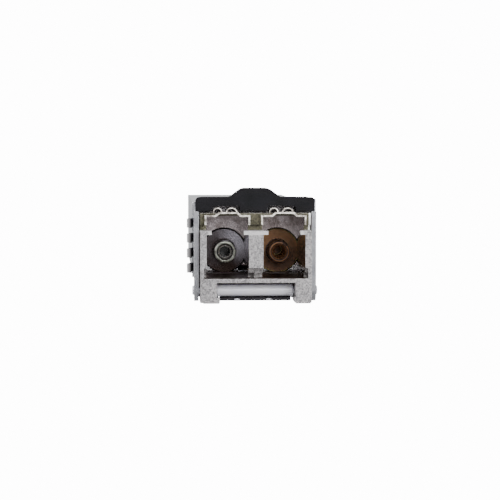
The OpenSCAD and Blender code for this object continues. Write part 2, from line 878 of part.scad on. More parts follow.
module cam_sleeve() color([0.8, 0.8, 0.84]) difference() {
    union() {
        round_x(bail_d - cam_offset, bail_z, cam_r, [cam_chamfer - cam_half, cam_half - cam_chamfer]);
        for (side = [-1, 1])
            translate([side * (cam_half - cam_chamfer), front_y + bail_d - cam_offset, bail_z])
                rotate([0, side * 90, 0])
                    cylinder(r1 = cam_r, r2 = cam_r - cam_chamfer, h = cam_chamfer);
    }
    round_x(bail_d, bail_z, shaft_r, [-cam_half - cut, cam_half + cut]);
}

nose_housing();
latch_hood_left();
latch_hood_right();
base_housing();
top_cover();
top_label();
cover_screws();
emi_collar();
emi_plate();
osa_clamp();
tosa_receptacle();
tosa_sleeve();
tosa_stub();
tosa_can();
tosa_flex();
rosa_receptacle();
rosa_can();
rosa_flex();
pcb();
contacts_top();
contacts_bottom();
laser_driver();
post_amplifier();
microcontroller();
passives();
thermal_pad();
latch_plate();
latch_plate_rivets();
latch_pin();
latch_spring();
latch_lever();
bail_frame();
bail_grip();
bail_shaft();
cam_sleeve();
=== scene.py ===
"""Duplex optical transceiver module with a bail latch: finishes, small fittings, light and camera."""

import json
import math

import bpy
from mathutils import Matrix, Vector


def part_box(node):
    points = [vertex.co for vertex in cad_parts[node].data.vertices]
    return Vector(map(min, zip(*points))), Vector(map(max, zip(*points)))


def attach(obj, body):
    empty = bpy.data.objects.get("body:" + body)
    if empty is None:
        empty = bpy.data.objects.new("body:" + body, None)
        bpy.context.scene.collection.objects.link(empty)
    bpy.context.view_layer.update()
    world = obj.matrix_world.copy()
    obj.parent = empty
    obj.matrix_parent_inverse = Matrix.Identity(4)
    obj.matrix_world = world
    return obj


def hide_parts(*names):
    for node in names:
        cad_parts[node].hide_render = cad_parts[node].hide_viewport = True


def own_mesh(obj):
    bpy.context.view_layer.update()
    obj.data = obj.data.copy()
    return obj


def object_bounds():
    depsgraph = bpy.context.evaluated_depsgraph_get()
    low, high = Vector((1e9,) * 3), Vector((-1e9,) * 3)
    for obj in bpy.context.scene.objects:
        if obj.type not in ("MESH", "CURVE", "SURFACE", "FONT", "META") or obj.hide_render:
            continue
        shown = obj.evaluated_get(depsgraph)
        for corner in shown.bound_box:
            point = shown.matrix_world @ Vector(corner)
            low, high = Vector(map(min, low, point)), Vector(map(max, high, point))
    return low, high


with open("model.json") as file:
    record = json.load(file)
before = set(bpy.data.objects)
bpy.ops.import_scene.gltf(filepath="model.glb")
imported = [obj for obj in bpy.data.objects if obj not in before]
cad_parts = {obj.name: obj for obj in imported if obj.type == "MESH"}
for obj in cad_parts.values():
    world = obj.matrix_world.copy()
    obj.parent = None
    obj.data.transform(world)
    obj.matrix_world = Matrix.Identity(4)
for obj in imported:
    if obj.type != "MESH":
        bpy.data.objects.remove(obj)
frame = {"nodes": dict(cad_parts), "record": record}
cad_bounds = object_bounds()

# Lengths are in millimetres, except where a Blender call takes metres.
MM = 0.001
BODIES = frame["record"]["behaviour"]["bodies"]

# The module's own places
CROWN_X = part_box("emi_collar")[1].x / MM
NOSE_LOW, NOSE_HIGH = [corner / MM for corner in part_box("nose_housing")]
FRONT_Y = NOSE_LOW.y
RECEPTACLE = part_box("tosa_receptacle")
AXIS_X = (RECEPTACLE[1].x + RECEPTACLE[0].x) / 2 / MM
AXIS_Z = (RECEPTACLE[1].z + RECEPTACLE[0].z) / 2 / MM
TIP_Y = RECEPTACLE[0].y / MM
COLLAR_MIDDLE = (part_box("emi_collar")[0].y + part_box("emi_collar")[1].y) / 2 / MM


# ---- Finishes: node maths ----


class Tone:
    """One socket of a finish. Python's operators on it add the finish's Math nodes."""

    def __init__(self, finish, socket):
        self.finish = finish
        self.socket = socket

    def _math(self, operation, *values):
        return self.finish.node("ShaderNodeMath", {"operation": operation}, dict(enumerate(values)))

    def __add__(self, other):
        return self._math("ADD", self, other)

    def __radd__(self, other):
        return self._math("ADD", other, self)

    def __sub__(self, other):
        return self._math("SUBTRACT", self, other)

    def __rsub__(self, other):
        return self._math("SUBTRACT", other, self)

    def __mul__(self, other):
        return self._math("MULTIPLY", self, other)

    def __rmul__(self, other):
        return self._math("MULTIPLY", other, self)

    def __truediv__(self, other):
        return self._math("DIVIDE", self, other)

    def __rtruediv__(self, other):
        return self._math("DIVIDE", other, self)

    def __lt__(self, other):
        return self._math("LESS_THAN", self, other)

    def __gt__(self, other):
        return self._math("GREATER_THAN", self, other)

    def least(self, other):
        return self._math("MINIMUM", self, other)

    def size(self):
        return self._math("ABSOLUTE", self)

    def root(self):
        return self._math("SQRT", self)

    def wave(self):
        return self._math("SINE", self)

    def ramp(self, low, high):
        """0 below low, 1 above high, and smooth between."""
        return self.finish.node(
            "ShaderNodeMapRange",
            {"interpolation_type": "SMOOTHSTEP"},
            {"Value": self, "From Min": low, "From Max": high},
        )


class Finish:
    """A material, or the world, with one way to add its nodes."""

    def __init__(self, owner):
        owner.use_nodes = True
        self.owner = owner
        self.tree = owner.node_tree
        self.tree.nodes.clear()
        self.kept = {}

    def node(self, kind, settings=None, values=None, output=0):
        """Adds a node: its settings first, then the values or links of its sockets."""
        made = self.tree.nodes.new(kind)
        for name, value in (settings or {}).items():
            setattr(made, name, value)
        for name, value in (values or {}).items():
            socket = made.inputs[name]
            if isinstance(value, Tone):
                self.tree.links.new(value.socket, socket)
            else:
                socket.default_value = value
        return Tone(self, made.outputs[output]) if made.outputs else None

    def place(self):
        """Object coordinates in millimetres."""
        if "place" not in self.kept:
            metres = self.node("ShaderNodeTexCoord", output="Object")
            self.kept["place"] = self.node(
                "ShaderNodeVectorMath", {"operation": "SCALE"}, {0: metres, "Scale": 1 / MM}
            )
        return self.kept["place"]

    def axes(self):
        """The three object coordinates in millimetres."""
        if "axes" not in self.kept:
            self.kept["axes"] = self.parts(self.place())
        return self.kept["axes"]

    def parts(self, vector):
        """The x, y and z of a vector."""
        outputs = self.node("ShaderNodeSeparateXYZ", None, {0: vector}).socket.node.outputs
        return [Tone(self, output) for output in outputs]

    def stretched(self, factors):
        """Object coordinates with each axis multiplied by its factor."""
        return self.node("ShaderNodeVectorMath", {"operation": "MULTIPLY"}, {0: self.place(), 1: factors})

    def noise(self, grain, detail=2.0, rough=0.5, place=None):
        """Noise whose features are about grain millimetres across."""
        return self.node(
            "ShaderNodeTexNoise",
            None,
            {
                "Vector": place or self.place(),
                "Scale": 1.0 / grain,
                "Detail": detail,
                "Roughness": rough,
            },
        )

    def cells(self, grain):
        """The distance to the nearest of scattered points, about grain millimetres apart."""
        return self.node("ShaderNodeTexVoronoi", None, {"Vector": self.place(), "Scale": 1.0 / grain})

    def blend(self, factor, first, second):
        """A colour between two colours."""
        return self.node(
            "ShaderNodeMix",
            {"data_type": "RGBA", "clamp_factor": True},
            {0: factor, 6: first, 7: second},
            output=2,
        )

    def spotted(self, colour, spot):
        """A colour with another one over a region. A spot is None, or a region and its colour."""
        if spot is None:
            return colour
        region, tone = spot
        return self.blend(region(*self.axes()), colour, tone)

    def bump(self, height, depth, strength):
        """A normal for a relief of height times depth millimetres."""
        values = {"Height": height, "Distance": depth * MM, "Strength": strength}
        return self.node("ShaderNodeBump", None, values)

    def surface(self, **sockets):
        """The Principled shader, linked to the output. Socket names have _ for a space."""
        values = {name.replace("_", " "): value for name, value in sockets.items()}
        shader = self.node("ShaderNodeBsdfPrincipled", None, values)
        self.node("ShaderNodeOutputMaterial", None, {"Surface": shader})
        return self.owner


def finish(name):
    return Finish(bpy.data.materials.new(name))


def tint(red, green, blue):
    """A linear colour from display values of 0 to 255."""
    shares = [v / 255 for v in (red, green, blue)]
    return tuple(v / 12.92 if v < 0.04045 else ((v + 0.055) / 1.055) ** 2.4 for v in shares) + (1.0,)


# ---- Finishes: kinds ----

# How much slower a sheet's marks change along its rolling direction
ROLLED = {"x": (0.06, 1, 1), "y": (1, 0.06, 1), "z": (1, 1, 0.06)}
# Limits of the painted shade and painted highlight on the turned flange
TURNED_SHADE_Z = (2.6, 7.4)
TUBE_ROOT_R = (1.3, 1.6)
TUBE_ROOT_SHADE = 0.25
NOT_ZERO = 0.01
# Limits of the painted shade on the amber moulding, darker towards the bottom
AMBER_SHADE_Z = (3.0, 7.6)
# Turns of the sine per millimetre, in radians
TRACK_RATE = 9.0
TRACK_BEND_RATE = 1.1
TRACK_BEND = 1.6
SECTION_RATE = 0.7
STRIP_RATE = 11.0
VIA_R = (0.1, 0.16)
# The label's printed border, measured in from the label's edge
BORDER_STARTS = (0.45, 0.48)
BORDER_ENDS = (0.62, 0.65)
# Reach of the painted shade in from the fingers' crown, and of the painted highlight past it, in
# millimetres
FINGER_DARK = 0.55
FINGER_BRIGHT = 0.05


def cast_zinc(name, pale, dark, depth, rough, spot=None):
    """Die-cast zinc under thin nickel: fine sandy grain with a slow mottle."""
    f = finish(name)
    sand = f.noise(grain=0.16, detail=2.0, rough=0.6)
    pits = f.cells(grain=0.22)
    mottle = f.noise(grain=1.7, detail=3.0, rough=0.6)
    shade = (sand * 0.8 + mottle * 0.2).ramp(0.34, 0.66)
    relief = sand + pits * 0.4
    return f.surface(
        Base_Color=f.spotted(f.blend(shade, dark, pale), spot),
        Metallic=0.75,
        Roughness=rough + sand * 0.16,
        Normal=f.bump(relief, depth, strength=0.8),
    )


def sheet_metal(name, pale, dark, along, rough, depth, metallic=1.0, spot=None):
    """Rolled and plated sheet: fine lines along one axis and soft stains."""
    f = finish(name)
    lines = f.noise(grain=0.05, detail=3.0, rough=0.7, place=f.stretched(ROLLED[along]))
    stains = f.noise(grain=1.3, detail=4.0, rough=0.6)
    shade = (lines * 0.4 + stains * 0.6).ramp(0.3, 0.7)
    return f.surface(
        Base_Color=f.spotted(f.blend(shade, dark, pale), spot),
        Metallic=metallic,
        Roughness=rough + stains * 0.12 + lines * 0.06,
        Normal=f.bump(lines, depth, strength=0.5),
    )


def worn_highlit_edge(name, bright, dull, metallic, rough=0.24):
    """A bevelled edge, rubbed bright in places and dull between, whose brightness is also a painted
    highlight along the edge.
    """
    f = finish(name)
    spots = f.noise(grain=0.5, detail=3.0, rough=0.6)
    scratches = f.noise(grain=0.07, detail=2.0, rough=0.6)
    return f.surface(
        Base_Color=f.blend((spots * 0.8 + scratches * 0.2).ramp(0.38, 0.6), dull, bright),
        Metallic=metallic,
        Roughness=rough + spots * 0.12,
        Normal=f.bump(scratches, 0.003, strength=0.5),
    )


def turned_metal(name, pale, dark, groove, depth, rough):
    """Lathe-turned steel: rings round the left port's axis and soft stains, with painted light: a painted
    highlight towards the top and the right, a painted dark wedge at the upper left, and painted shade at
    the tube's root.
    """
    f = finish(name)
    x, _, z = f.axes()
    across = x - AXIS_X
    up = z - AXIS_Z
    radius = (across * across + up * up).root()
    rings = (radius * (2 * math.pi / groove)).wave() * 0.5 + 0.5
    stains = f.noise(grain=0.9, detail=3.0, rough=0.6)
    # Painted light: lighter towards the top and the right, with a dark wedge at the upper left
    high = z.ramp(*TURNED_SHADE_Z)
    right = (across / (radius + NOT_ZERO)).ramp(0.1, 1.0)
    painted_sheen_wedge = across * up / (radius * radius + NOT_ZERO)
    lit = rings * 0.2 + stains * 0.3 + high * 0.5 + right * 0.45 + painted_sheen_wedge * 0.3
    # Painted shade: darker close round the tube's root
    root = radius.ramp(*TUBE_ROOT_R)
    shade = lit.ramp(0.35, 1.35) * (TUBE_ROOT_SHADE + root * (1 - TUBE_ROOT_SHADE))
    return f.surface(
        Base_Color=f.blend(shade, dark, pale),
        Metallic=1.0,
        Roughness=rough + stains * 0.14,
        Normal=f.bump(rings, depth, strength=0.6),
    )


def moulded(name, pale, dark, grain, depth, rough, coat=0.0, metallic=0.0, gloss=0.5):
    """Moulded plastic or compound: a fine spark-eroded texture."""
    f = finish(name)
    texture = f.noise(grain, detail=3.0, rough=0.6)
    slow = f.noise(grain=2.2, detail=2.0, rough=0.5)
    return f.surface(
        Base_Color=f.blend((texture * 0.5 + slow * 0.5).ramp(0.35, 0.65), dark, pale),
        Roughness=rough + texture * 0.14,
        Metallic=metallic,
        Specular_IOR_Level=gloss,
        Coat_Weight=coat,
        Normal=f.bump(texture, depth, strength=0.7),
    )


def amber_moulding(name, painted_rim_highlight, body, deep):
    """Amber resin: deep brown, with painted shade darker towards the bottom and a painted highlight, paler
    where it is seen at a low angle.
    """
    f = finish(name)
    z = f.axes()[2]
    cloud = f.noise(grain=0.9, detail=3.0, rough=0.6)
    swirl = f.noise(grain=0.35)
    # Painted shade: darker towards the bottom
    high = z.ramp(*AMBER_SHADE_Z)
    base = f.blend((cloud * 0.6 + high * 0.5).ramp(0.25, 0.85), deep, body)
    # Painted highlight: paler where the surface is seen at a low angle
    facing = f.node("ShaderNodeLayerWeight", None, {"Blend": 0.35}, output=1)
    return f.surface(
        Base_Color=f.blend(facing.ramp(0.35, 0.95) * 0.7, base, painted_rim_highlight),
        Roughness=0.32 + cloud * 0.12,
        Specular_IOR_Level=0.2,
        Normal=f.bump(swirl, 0.012, strength=0.5),
    )


def board_mask(name):
    """Green solder mask with buried tracks and dots of bare copper."""
    f = finish(name)
    x, y, _ = f.axes()
    weave = f.noise(grain=0.35)
    bends = (y * TRACK_BEND_RATE).wave() * TRACK_BEND
    tracks = (x * TRACK_RATE + bends).wave().ramp(0.55, 0.8)
    sections = (y * SECTION_RATE).wave().ramp(-0.1, 0.1)
    raised = tracks * sections
    vias = 1 - f.cells(grain=1.15).ramp(*VIA_R)
    mask = f.blend(raised * 0.6 + weave * 0.25, tint(12, 74, 40), tint(30, 112, 62))
    return f.surface(
        Base_Color=f.blend(vias, mask, tint(150, 140, 90)),
        Roughness=0.34 + weave * 0.12,
        Coat_Weight=0.3,
        Normal=f.bump(raised + vias * 0.5, 0.02, strength=0.6),
    )


def polyimide(name):
    """Amber film with dull copper strips under it."""
    f = finish(name)
    x = f.axes()[0]
    strips = (x * STRIP_RATE).wave().ramp(0.0, 0.35)
    haze = f.noise(grain=0.6)
    film = f.blend(haze, tint(168, 96, 22), tint(205, 130, 40))
    return f.surface(
        Base_Color=f.blend(strips * 0.55, film, tint(120, 62, 18)),
        Roughness=0.32 + haze * 0.1,
        Normal=f.bump(strips, 0.015, strength=0.6),
    )


def blank_film(name):
    """Matte silver-white label film with a faint fibre and a printed border."""
    f = finish(name)
    x, y, _ = f.axes()
    low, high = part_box("top_label")
    middle = (low + high) / 2 / MM
    half = (high - low) / 2 / MM
    inset = (half.x - (x - middle.x).size()).least(half.y - (y - middle.y).size())
    border = inset.ramp(*BORDER_STARTS) * (1 - inset.ramp(*BORDER_ENDS))
    fibre = f.noise(grain=0.12, detail=3.0, rough=0.6)
    film = f.blend(fibre, tint(214, 214, 210), tint(233, 233, 230))
    return f.surface(
        Base_Color=f.blend(border * 0.85, film, tint(92, 96, 104)),
        Roughness=0.5 + fibre * 0.14,
        Normal=f.bump(fibre, 0.006, strength=0.5),
    )


def shaded_finger(name, pale, dark):
    """Finger fronts: painted shade towards the body, and a painted highlight at the crown."""
    f = finish(name)
    x = f.axes()[0]
    lines = f.noise(grain=0.06, detail=2.0, rough=0.6)
    # Painted shade towards the body, painted highlight at the crown
    reach = x.size().ramp(CROWN_X - FINGER_DARK, CROWN_X + FINGER_BRIGHT)
    return f.surface(
        Base_Color=f.blend(reach + lines * 0.1, dark, pale),
        Metallic=1.0,
        Roughness=0.34 + lines * 0.1,
        Normal=f.bump(lines, 0.006, strength=0.5),
    )


# ---- Finishes: regions of painted shade and painted highlight ----

# Painted shade on the base under the ports
PORT_FLOOR_SHADE_DEPTH = 13.0
PORT_FLOOR_SHADE_Z = (2.7, 2.93)
PORT_FLOOR_SHADE_HALF_X = 5.9
# Painted highlight along the ledges over the ports
LEDGE_HIGHLIGHT_DEPTH = 1.0
LEDGE_HIGHLIGHT_RISE_Z = (7.5, 7.65)
LEDGE_HIGHLIGHT_FADE_Z = (7.75, 8.25)
LEDGE_HIGHLIGHT_FADE = 0.7
LEDGE_HIGHLIGHT_END_X = (5.1, 5.6)
LEDGE_HIGHLIGHT = 0.85
CORNER_X = (5.9, 6.0)


def port_floor_painted_shade(x, y, z):
    """Painted shade on the base under the ports."""
    low, high = PORT_FLOOR_SHADE_Z
    return (y < FRONT_Y + PORT_FLOOR_SHADE_DEPTH) * (z > low) * (z < high) * (x.size() < PORT_FLOOR_SHADE_HALF_X)


def ledge_painted_highlight(x, y, z):
    """A painted highlight along the ledges over the ports."""
    band = z.ramp(*LEDGE_HIGHLIGHT_RISE_Z) * (1 - z.ramp(*LEDGE_HIGHLIGHT_FADE_Z) * LEDGE_HIGHLIGHT_FADE)
    return band * LEDGE_HIGHLIGHT * (1 - x.size().ramp(*LEDGE_HIGHLIGHT_END_X)) * (y < FRONT_Y + LEDGE_HIGHLIGHT_DEPTH)


def lit_corner(x, y, z):
    """A painted highlight on the strip at the right end of the hood wall."""
    return x.ramp(*CORNER_X)


# ---- Finishes: the module's own ----

WHITE = tint(255, 255, 255)
# Colour of the painted shade under the ports
PORT_FLOOR_SHADE = tint(50, 40, 36)

FINISH = {
    # Nose and housings
    "nose": cast_zinc(
        "nose_cast_zinc",
        tint(179, 176, 177),
        tint(113, 111, 113),
        depth=0.026,
        rough=0.4,
        # Painted highlight on the ledges
        spot=(ledge_painted_highlight, tint(206, 203, 204)),
    ),
    # A darker copy of the nose's zinc: painted shade on the set-back posts
    "recess": cast_zinc("shaded_recess_cast_zinc", tint(136, 133, 133), tint(84, 82, 82), depth=0.026, rough=0.42),
    # Olive zinc, darker than the nose as painted shade on the recessed wall
    "hood_wall": cast_zinc(
        "olive_shaded_cast_wall",
        tint(100, 97, 80),
        tint(58, 56, 44),
        depth=0.02,
        rough=0.42,
        # Painted highlight at the wall's right end
        spot=(lit_corner, tint(244, 244, 242)),
    ),
    "shell": cast_zinc(
        "shell_cast_zinc",
        tint(186, 189, 194),
        tint(168, 170, 176),
        depth=0.006,
        rough=0.26,
        spot=(port_floor_painted_shade, PORT_FLOOR_SHADE),
    ),
    # Painted highlight: the saddles' faces are painted plain white
    "saddle": sheet_metal(
        "painted_highlight_saddle",
        WHITE,
        tint(240, 242, 246),
        along="x",
        rough=0.3,
        depth=0.002,
        metallic=0.0,
        spot=(port_floor_painted_shade, PORT_FLOOR_SHADE),
    ),
    # Painted highlight on the nose's bevelled edges, patchy like wear
    "nose_rim": worn_highlit_edge("worn_highlit_nose_edge", tint(255, 254, 252), tint(196, 193, 192), metallic=0.2),
    # Painted highlight: near-white matte faces at the ledge tips, the nose's upper right corner and the
    # right arm's inner face
    "tip": worn_highlit_edge("painted_highlight_tip", WHITE, tint(246, 244, 240), metallic=0.0, rough=0.18),
    # Sheet and steel
    "port_wall": sheet_metal(
        "polished_port_wall", tint(208, 205, 208), tint(176, 170, 170), along="y", rough=0.07, depth=0.003
    ),
    # Painted shade: the ports' floors are painted dark
    "port_floor": sheet_metal(
        "shaded_port_floor", tint(96, 82, 74), tint(58, 47, 42), along="y", rough=0.3, depth=0.004
    ),
    # Painted shade in the gap behind the bail arms
    "gap_dark": sheet_metal(
        "painted_gap_shade", tint(44, 43, 45), tint(28, 27, 29), along="z", rough=0.4, depth=0.003
    ),
    "cover": sheet_metal(
        "satin_cover_sheet", tint(190, 193, 198), tint(180, 183, 188), along="y", rough=0.2, depth=0.004
    ),
    "bright": sheet_metal(
        "bright_plated_sheet", tint(166, 158, 160), tint(80, 68, 64), along="z", rough=0.14, depth=0.006
    ),
    # Painted highlight on the hoods' sheared edges
    "bright_rim": worn_highlit_edge(
        "sheared_highlit_sheet_edge", tint(255, 250, 240), tint(132, 124, 116), metallic=0.35, rough=0.2
    ),
    # Dark steel; on the latch lever its darkness is also painted shade under the pin
    "dark_steel": sheet_metal(
        "dark_satin_steel_and_shade", tint(58, 56, 60), tint(34, 32, 36), along="x", rough=0.3, depth=0.006
    ),
    "spring": sheet_metal(
        "spring_steel_sheet", tint(190, 191, 194), tint(140, 140, 144), along="y", rough=0.26, depth=0.006
    ),
    "finger_front": shaded_finger("shaded_finger_front", tint(214, 212, 214), tint(16, 15, 16)),
    "pin": sheet_metal(
        "drawn_pin_steel", tint(222, 222, 230), tint(190, 190, 200), along="x", rough=0.24, depth=0.004
    ),
    "gold": sheet_metal(
        "gold_plate", tint(226, 188, 108), tint(190, 148, 74), along="y", rough=0.2, depth=0.004
    ),
    "arm": sheet_metal(
        "satin_stainless",
        tint(157, 158, 162),
        tint(126, 127, 132),
        along="z",
        rough=0.24,
        depth=0.006,
        metallic=0.85,
    ),
    # Painted highlight on the arms' bevelled edges
    "arm_rim": worn_highlit_edge("sheared_highlit_stainless_edge", tint(252, 252, 254), tint(196, 196, 200), metallic=0.5),
    # Left receptacle
    "turned": turned_metal(
        "turned_steel", tint(140, 137, 145), tint(38, 30, 28), groove=0.12, depth=0.002, rough=0.18
    ),
    # Painted shade: the left flange's bevelled edges are painted near black
    "turned_rim": sheet_metal(
        "painted_shade_edge", tint(40, 38, 38), tint(22, 20, 20), along="y", rough=0.24, depth=0.003
    ),
    # Painted highlight: the left tube's front ring is painted paler than the flange
    "ring_tip": sheet_metal(
        "highlit_ring_tip",
        tint(156, 160, 150),
        tint(92, 92, 86),
        along="x",
        rough=0.2,
        depth=0.003,
        metallic=0.8,
    ),
    # Painted shade inside the left tube's bore
    "bore": moulded(
        "shaded_bore", tint(74, 68, 68), tint(40, 36, 36), grain=0.3, depth=0.002, rough=0.2, gloss=0.4
    ),
    # White ceramic painted grey as shade deep in the bore
    "white_ceramic": moulded(
        "white_ceramic", tint(120, 116, 108), tint(96, 92, 86), grain=0.2, depth=0.002, rough=0.2, coat=0.1
    ),
    # Painted shade: the fibre stub is painted near black deep in the bore
    "dark_ceramic": moulded(
        "dark_ceramic", tint(34, 33, 34), tint(16, 15, 16), grain=0.2, depth=0.002, rough=0.12, gloss=0.4
    ),
    # Right receptacle
    "amber": amber_moulding("amber_resin", tint(182, 172, 100), tint(166, 120, 78), tint(104, 70, 46)),
    # Painted shade: a darker copy of the amber for the tube inside the port
    "amber_tube": amber_moulding("amber_tube", tint(80, 64, 40), tint(74, 49, 33), tint(54, 35, 26)),
    # Painted highlight: the amber flange's bevelled edges are painted pale olive
    "amber_rim": moulded(
        "amber_rim", tint(170, 152, 96), tint(134, 114, 68), grain=0.3, depth=0.004, rough=0.3, gloss=0.4
    ),
    # Painted shade inside the amber tube's bore
    "amber_bore": moulded(
        "amber_bore", tint(128, 90, 60), tint(84, 58, 38), grain=0.3, depth=0.003, rough=0.2, gloss=0.4
    ),
    # Board, its parts, and the label
    "board": board_mask("green_solder_mask"),
    "film": polyimide("amber_polyimide"),
    "chip": moulded(
        "black_compound", tint(44, 44, 46), tint(26, 26, 28), grain=0.09, depth=0.01, rough=0.46
    ),
    "tan": moulded(
        "tan_ceramic", tint(172, 140, 102), tint(136, 106, 74), grain=0.12, depth=0.005, rough=0.4
    ),
    "pad": moulded(
        "filled_silicone", tint(134, 146, 172), tint(108, 120, 148), grain=0.18, depth=0.02, rough=0.6
    ),
    "label": blank_film("blank_label_film"),
    # Bail
    "grip": moulded(
        "black_grip", tint(24, 23, 28), tint(13, 12, 15), grain=0.12, depth=0.008, rough=0.45, gloss=0.13
    ),
    # Near-white and barely metallic so the cam looks evenly bright: a painted sheen over pale nickel
    "cam": moulded(
        "satin_nickel_cam_painted_sheen",
        tint(252, 252, 255),
        tint(244, 244, 255),
        grain=0.3,
        depth=0.002,
        rough=0.3,
        metallic=0.1,
    ),
}


# ---- Pieces ----

BEVEL_ANGLE = math.radians(35)
SMOOTH_ANGLE = math.radians(40)
FLAT_ANGLE = math.radians(0.5)
MERGE_DISTANCE = 0.0005


def nothing_selected():
    for other in list(bpy.context.selected_objects):
        other.select_set(False)


def only(piece):
    """Selects one piece and nothing else."""
    nothing_selected()
    piece.select_set(True)
    bpy.context.view_layer.objects.active = piece


def modified(piece, kind, **settings):
    """Adds one modifier to a piece and applies it."""
    only(piece)
    modifier = piece.modifiers.new(kind.title(), kind)
    for name, value in settings.items():
        setattr(modifier, name, value)
    bpy.ops.object.modifier_apply(modifier=modifier.name)


def body_of(node):
    return next(body for body, nodes in BODIES.items() if node in nodes)


def slot_of(node):
    return next(p["material_slot"] for p in frame["record"]["subparts"] if p["node"] == node)


def merged_copy(node):
    """The CAD node's mesh as a new, closed piece with whole flat faces."""
    mesh = frame["nodes"][node].data.copy()
    piece = bpy.data.objects.new(node + "_piece", mesh)
    bpy.context.scene.collection.objects.link(piece)
    mesh.materials.clear()
    only(piece)
    if mesh.has_custom_normals:
        bpy.ops.mesh.customdata_custom_splitnormals_clear()
    bpy.ops.object.mode_set(mode="EDIT")
    bpy.ops.mesh.select_all(action="SELECT")
    bpy.ops.mesh.remove_doubles(threshold=MERGE_DISTANCE * MM)
    bpy.ops.mesh.dissolve_limited(angle_limit=FLAT_ANGLE)
    bpy.ops.mesh.select_all(action="DESELECT")
    bpy.ops.object.mode_set(mode="OBJECT")
    return piece


def painted(piece, rules):
    """Gives the faces that a rule picks, by middle and normal in millimetres, its finish."""
    for key, picks in rules:
        piece.data.materials.append(FINISH[key])
        index = len(piece.data.materials) - 1
        for face in piece.data.polygons:
            if picks(face.center / MM, face.normal):
                face.material_index = index


def dressed(node, key, edge, rim=None, rules=(), segments=2):
    """Stands for a CAD node: its edges rounded by edge millimetres, and its finish on."""
    piece = merged_copy(node)
    piece.data.materials.append(FINISH[key])
    if rim:
        piece.data.materials.append(FINISH[rim])
    if edge:
        modified(
            piece,
            "BEVEL",
            width=edge * MM,
            segments=segments,
            limit_method="ANGLE",
            angle_limit=BEVEL_ANGLE,
            use_clamp_overlap=True,
            material=1 if rim else -1,
            miter_outer="MITER_ARC",
        )
    painted(piece, rules)
    only(piece)
    bpy.ops.object.shade_smooth_by_angle(angle=SMOOTH_ANGLE)
    modified(piece, "WEIGHTED_NORMAL", keep_sharp=True, weight=50)
    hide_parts(node)
    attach(piece, body_of(node))
    slot_of(node)
    return piece


# ---- Face rules: limits, with depths measured from the nose's front ----

PORT_Z = (2.8, 8.1)
PORT_FRAME_DEPTH = 1.0
NOSE_WALL = 0.3
FLOOR_Z = (2.5, 2.95)
FLOOR_HALF_X = 5.7
FLOOR_LIP_DEPTH = 0.3
FLOOR_BACK_DEPTH = 3
RECESS_Z = (2.76, 3.94)
RECESS_DEPTHS = (0.5, 2.6)
HOOD_WALL_Z = (8.06, 9.9)
HOOD_WALL_DEPTH = 0.9
LEDGE_Z = (7.55, 8.1)
LEDGE_TIPS_X = (1.34, 4.91)
LEDGE_TIP_REACH = 0.14
LEDGE_DEPTH = 0.8
CORNER_FACE_X = 5.9
CORNER_FACE_Z = (8.1, 9.9)
CORNER_FACE_DEPTH = 3
SADDLE_Z = (2.9, 4.2)
SADDLE_HALF_X = 6
SADDLE_DEPTH = 14.0
TIP_SKIN = 0.05
TUBE_LENGTH = 3.6
TUBE_R = 1.65
MOUTH_R = 0.93
BORE_DEPTH = 6
NOSE_INNER_X = 6.1
SHOULDER_DEPTHS = (4, 5.2)
# The part of a face's normal that lies along an axis, at least
SQUARE_ON = 0.9
SHEARED_EDGE = 0.7
RECESS_FACE = 0.6
HALF_WAY = 0.5
SLOPE = 0.25
ROUNDED_EDGE = 0.2


def between(value, limits):
    low, high = limits
    return low < value < high


def behind_front(middle, depths):
    """Whether a face lies between two depths behind the nose's front."""
    near, far = depths
    return FRONT_Y + near < middle.y < FRONT_Y + far


def axis_distance(middle):
    """The distance from the nearer port's axis."""
    return math.hypot(abs(middle.x) - abs(AXIS_X), middle.z - AXIS_Z)


def port_side(middle, normal):
    """Side walls inside the ports, behind the front frame."""
    deep = middle.y > FRONT_Y + PORT_FRAME_DEPTH
    inside = abs(middle.x) < NOSE_HIGH.x - NOSE_WALL and between(middle.z, PORT_Z)
    return deep and inside and abs(normal.x) > SQUARE_ON


def port_base(middle, normal):
    """Floors of the ports, behind the front edge, darkened with painted shade."""
    inside = abs(middle.x) < FLOOR_HALF_X and between(middle.z, FLOOR_Z)
    upward = normal.z > ROUNDED_EDGE and middle.y > FRONT_Y + FLOOR_LIP_DEPTH
    return inside and (upward or middle.y > FRONT_Y + FLOOR_BACK_DEPTH)


def lower_recess(middle, normal):
    """The set-back lower parts of the posts, darkened with painted shade."""
    inside = between(middle.z, RECESS_Z) and behind_front(middle, RECESS_DEPTHS)
    return inside and normal.y < -RECESS_FACE


def upper_wall(middle, normal):
    """The wall round the hoods and the groove under it, olive and darkened with painted shade."""
    inside = between(middle.z, HOOD_WALL_Z) and middle.y > FRONT_Y + HOOD_WALL_DEPTH
    return inside and normal.y < -SQUARE_ON


def ledge_tip(middle, normal):
    """The free ends of the ledges and the nose's upper right corner, which get a painted highlight."""
    near = any(abs(abs(middle.x) - tip) < LEDGE_TIP_REACH for tip in LEDGE_TIPS_X)
    if between(middle.z, LEDGE_Z) and near and middle.y < FRONT_Y + LEDGE_DEPTH:
        return True
    corner = middle.x > CORNER_FACE_X and between(middle.z, CORNER_FACE_Z)
    return corner and abs(normal.x) > ROUNDED_EDGE and middle.y < FRONT_Y + CORNER_FACE_DEPTH


def shoulder_front(middle, normal):
    """The shoulder behind a bail arm, painted dark as shade in its gap."""
    outside = abs(middle.x) > NOSE_INNER_X and behind_front(middle, SHOULDER_DEPTHS)
    return outside and normal.y < -HALF_WAY


def saddle_face(middle, normal):
    """Faces of the saddles under the receptacle flanges, painted white as a highlight."""
    inside = between(middle.z, SADDLE_Z) and abs(middle.x) < SADDLE_HALF_X
    ahead = middle.y < FRONT_Y + SADDLE_DEPTH
    return inside and ahead and (normal.y < -HALF_WAY or normal.z > HALF_WAY)


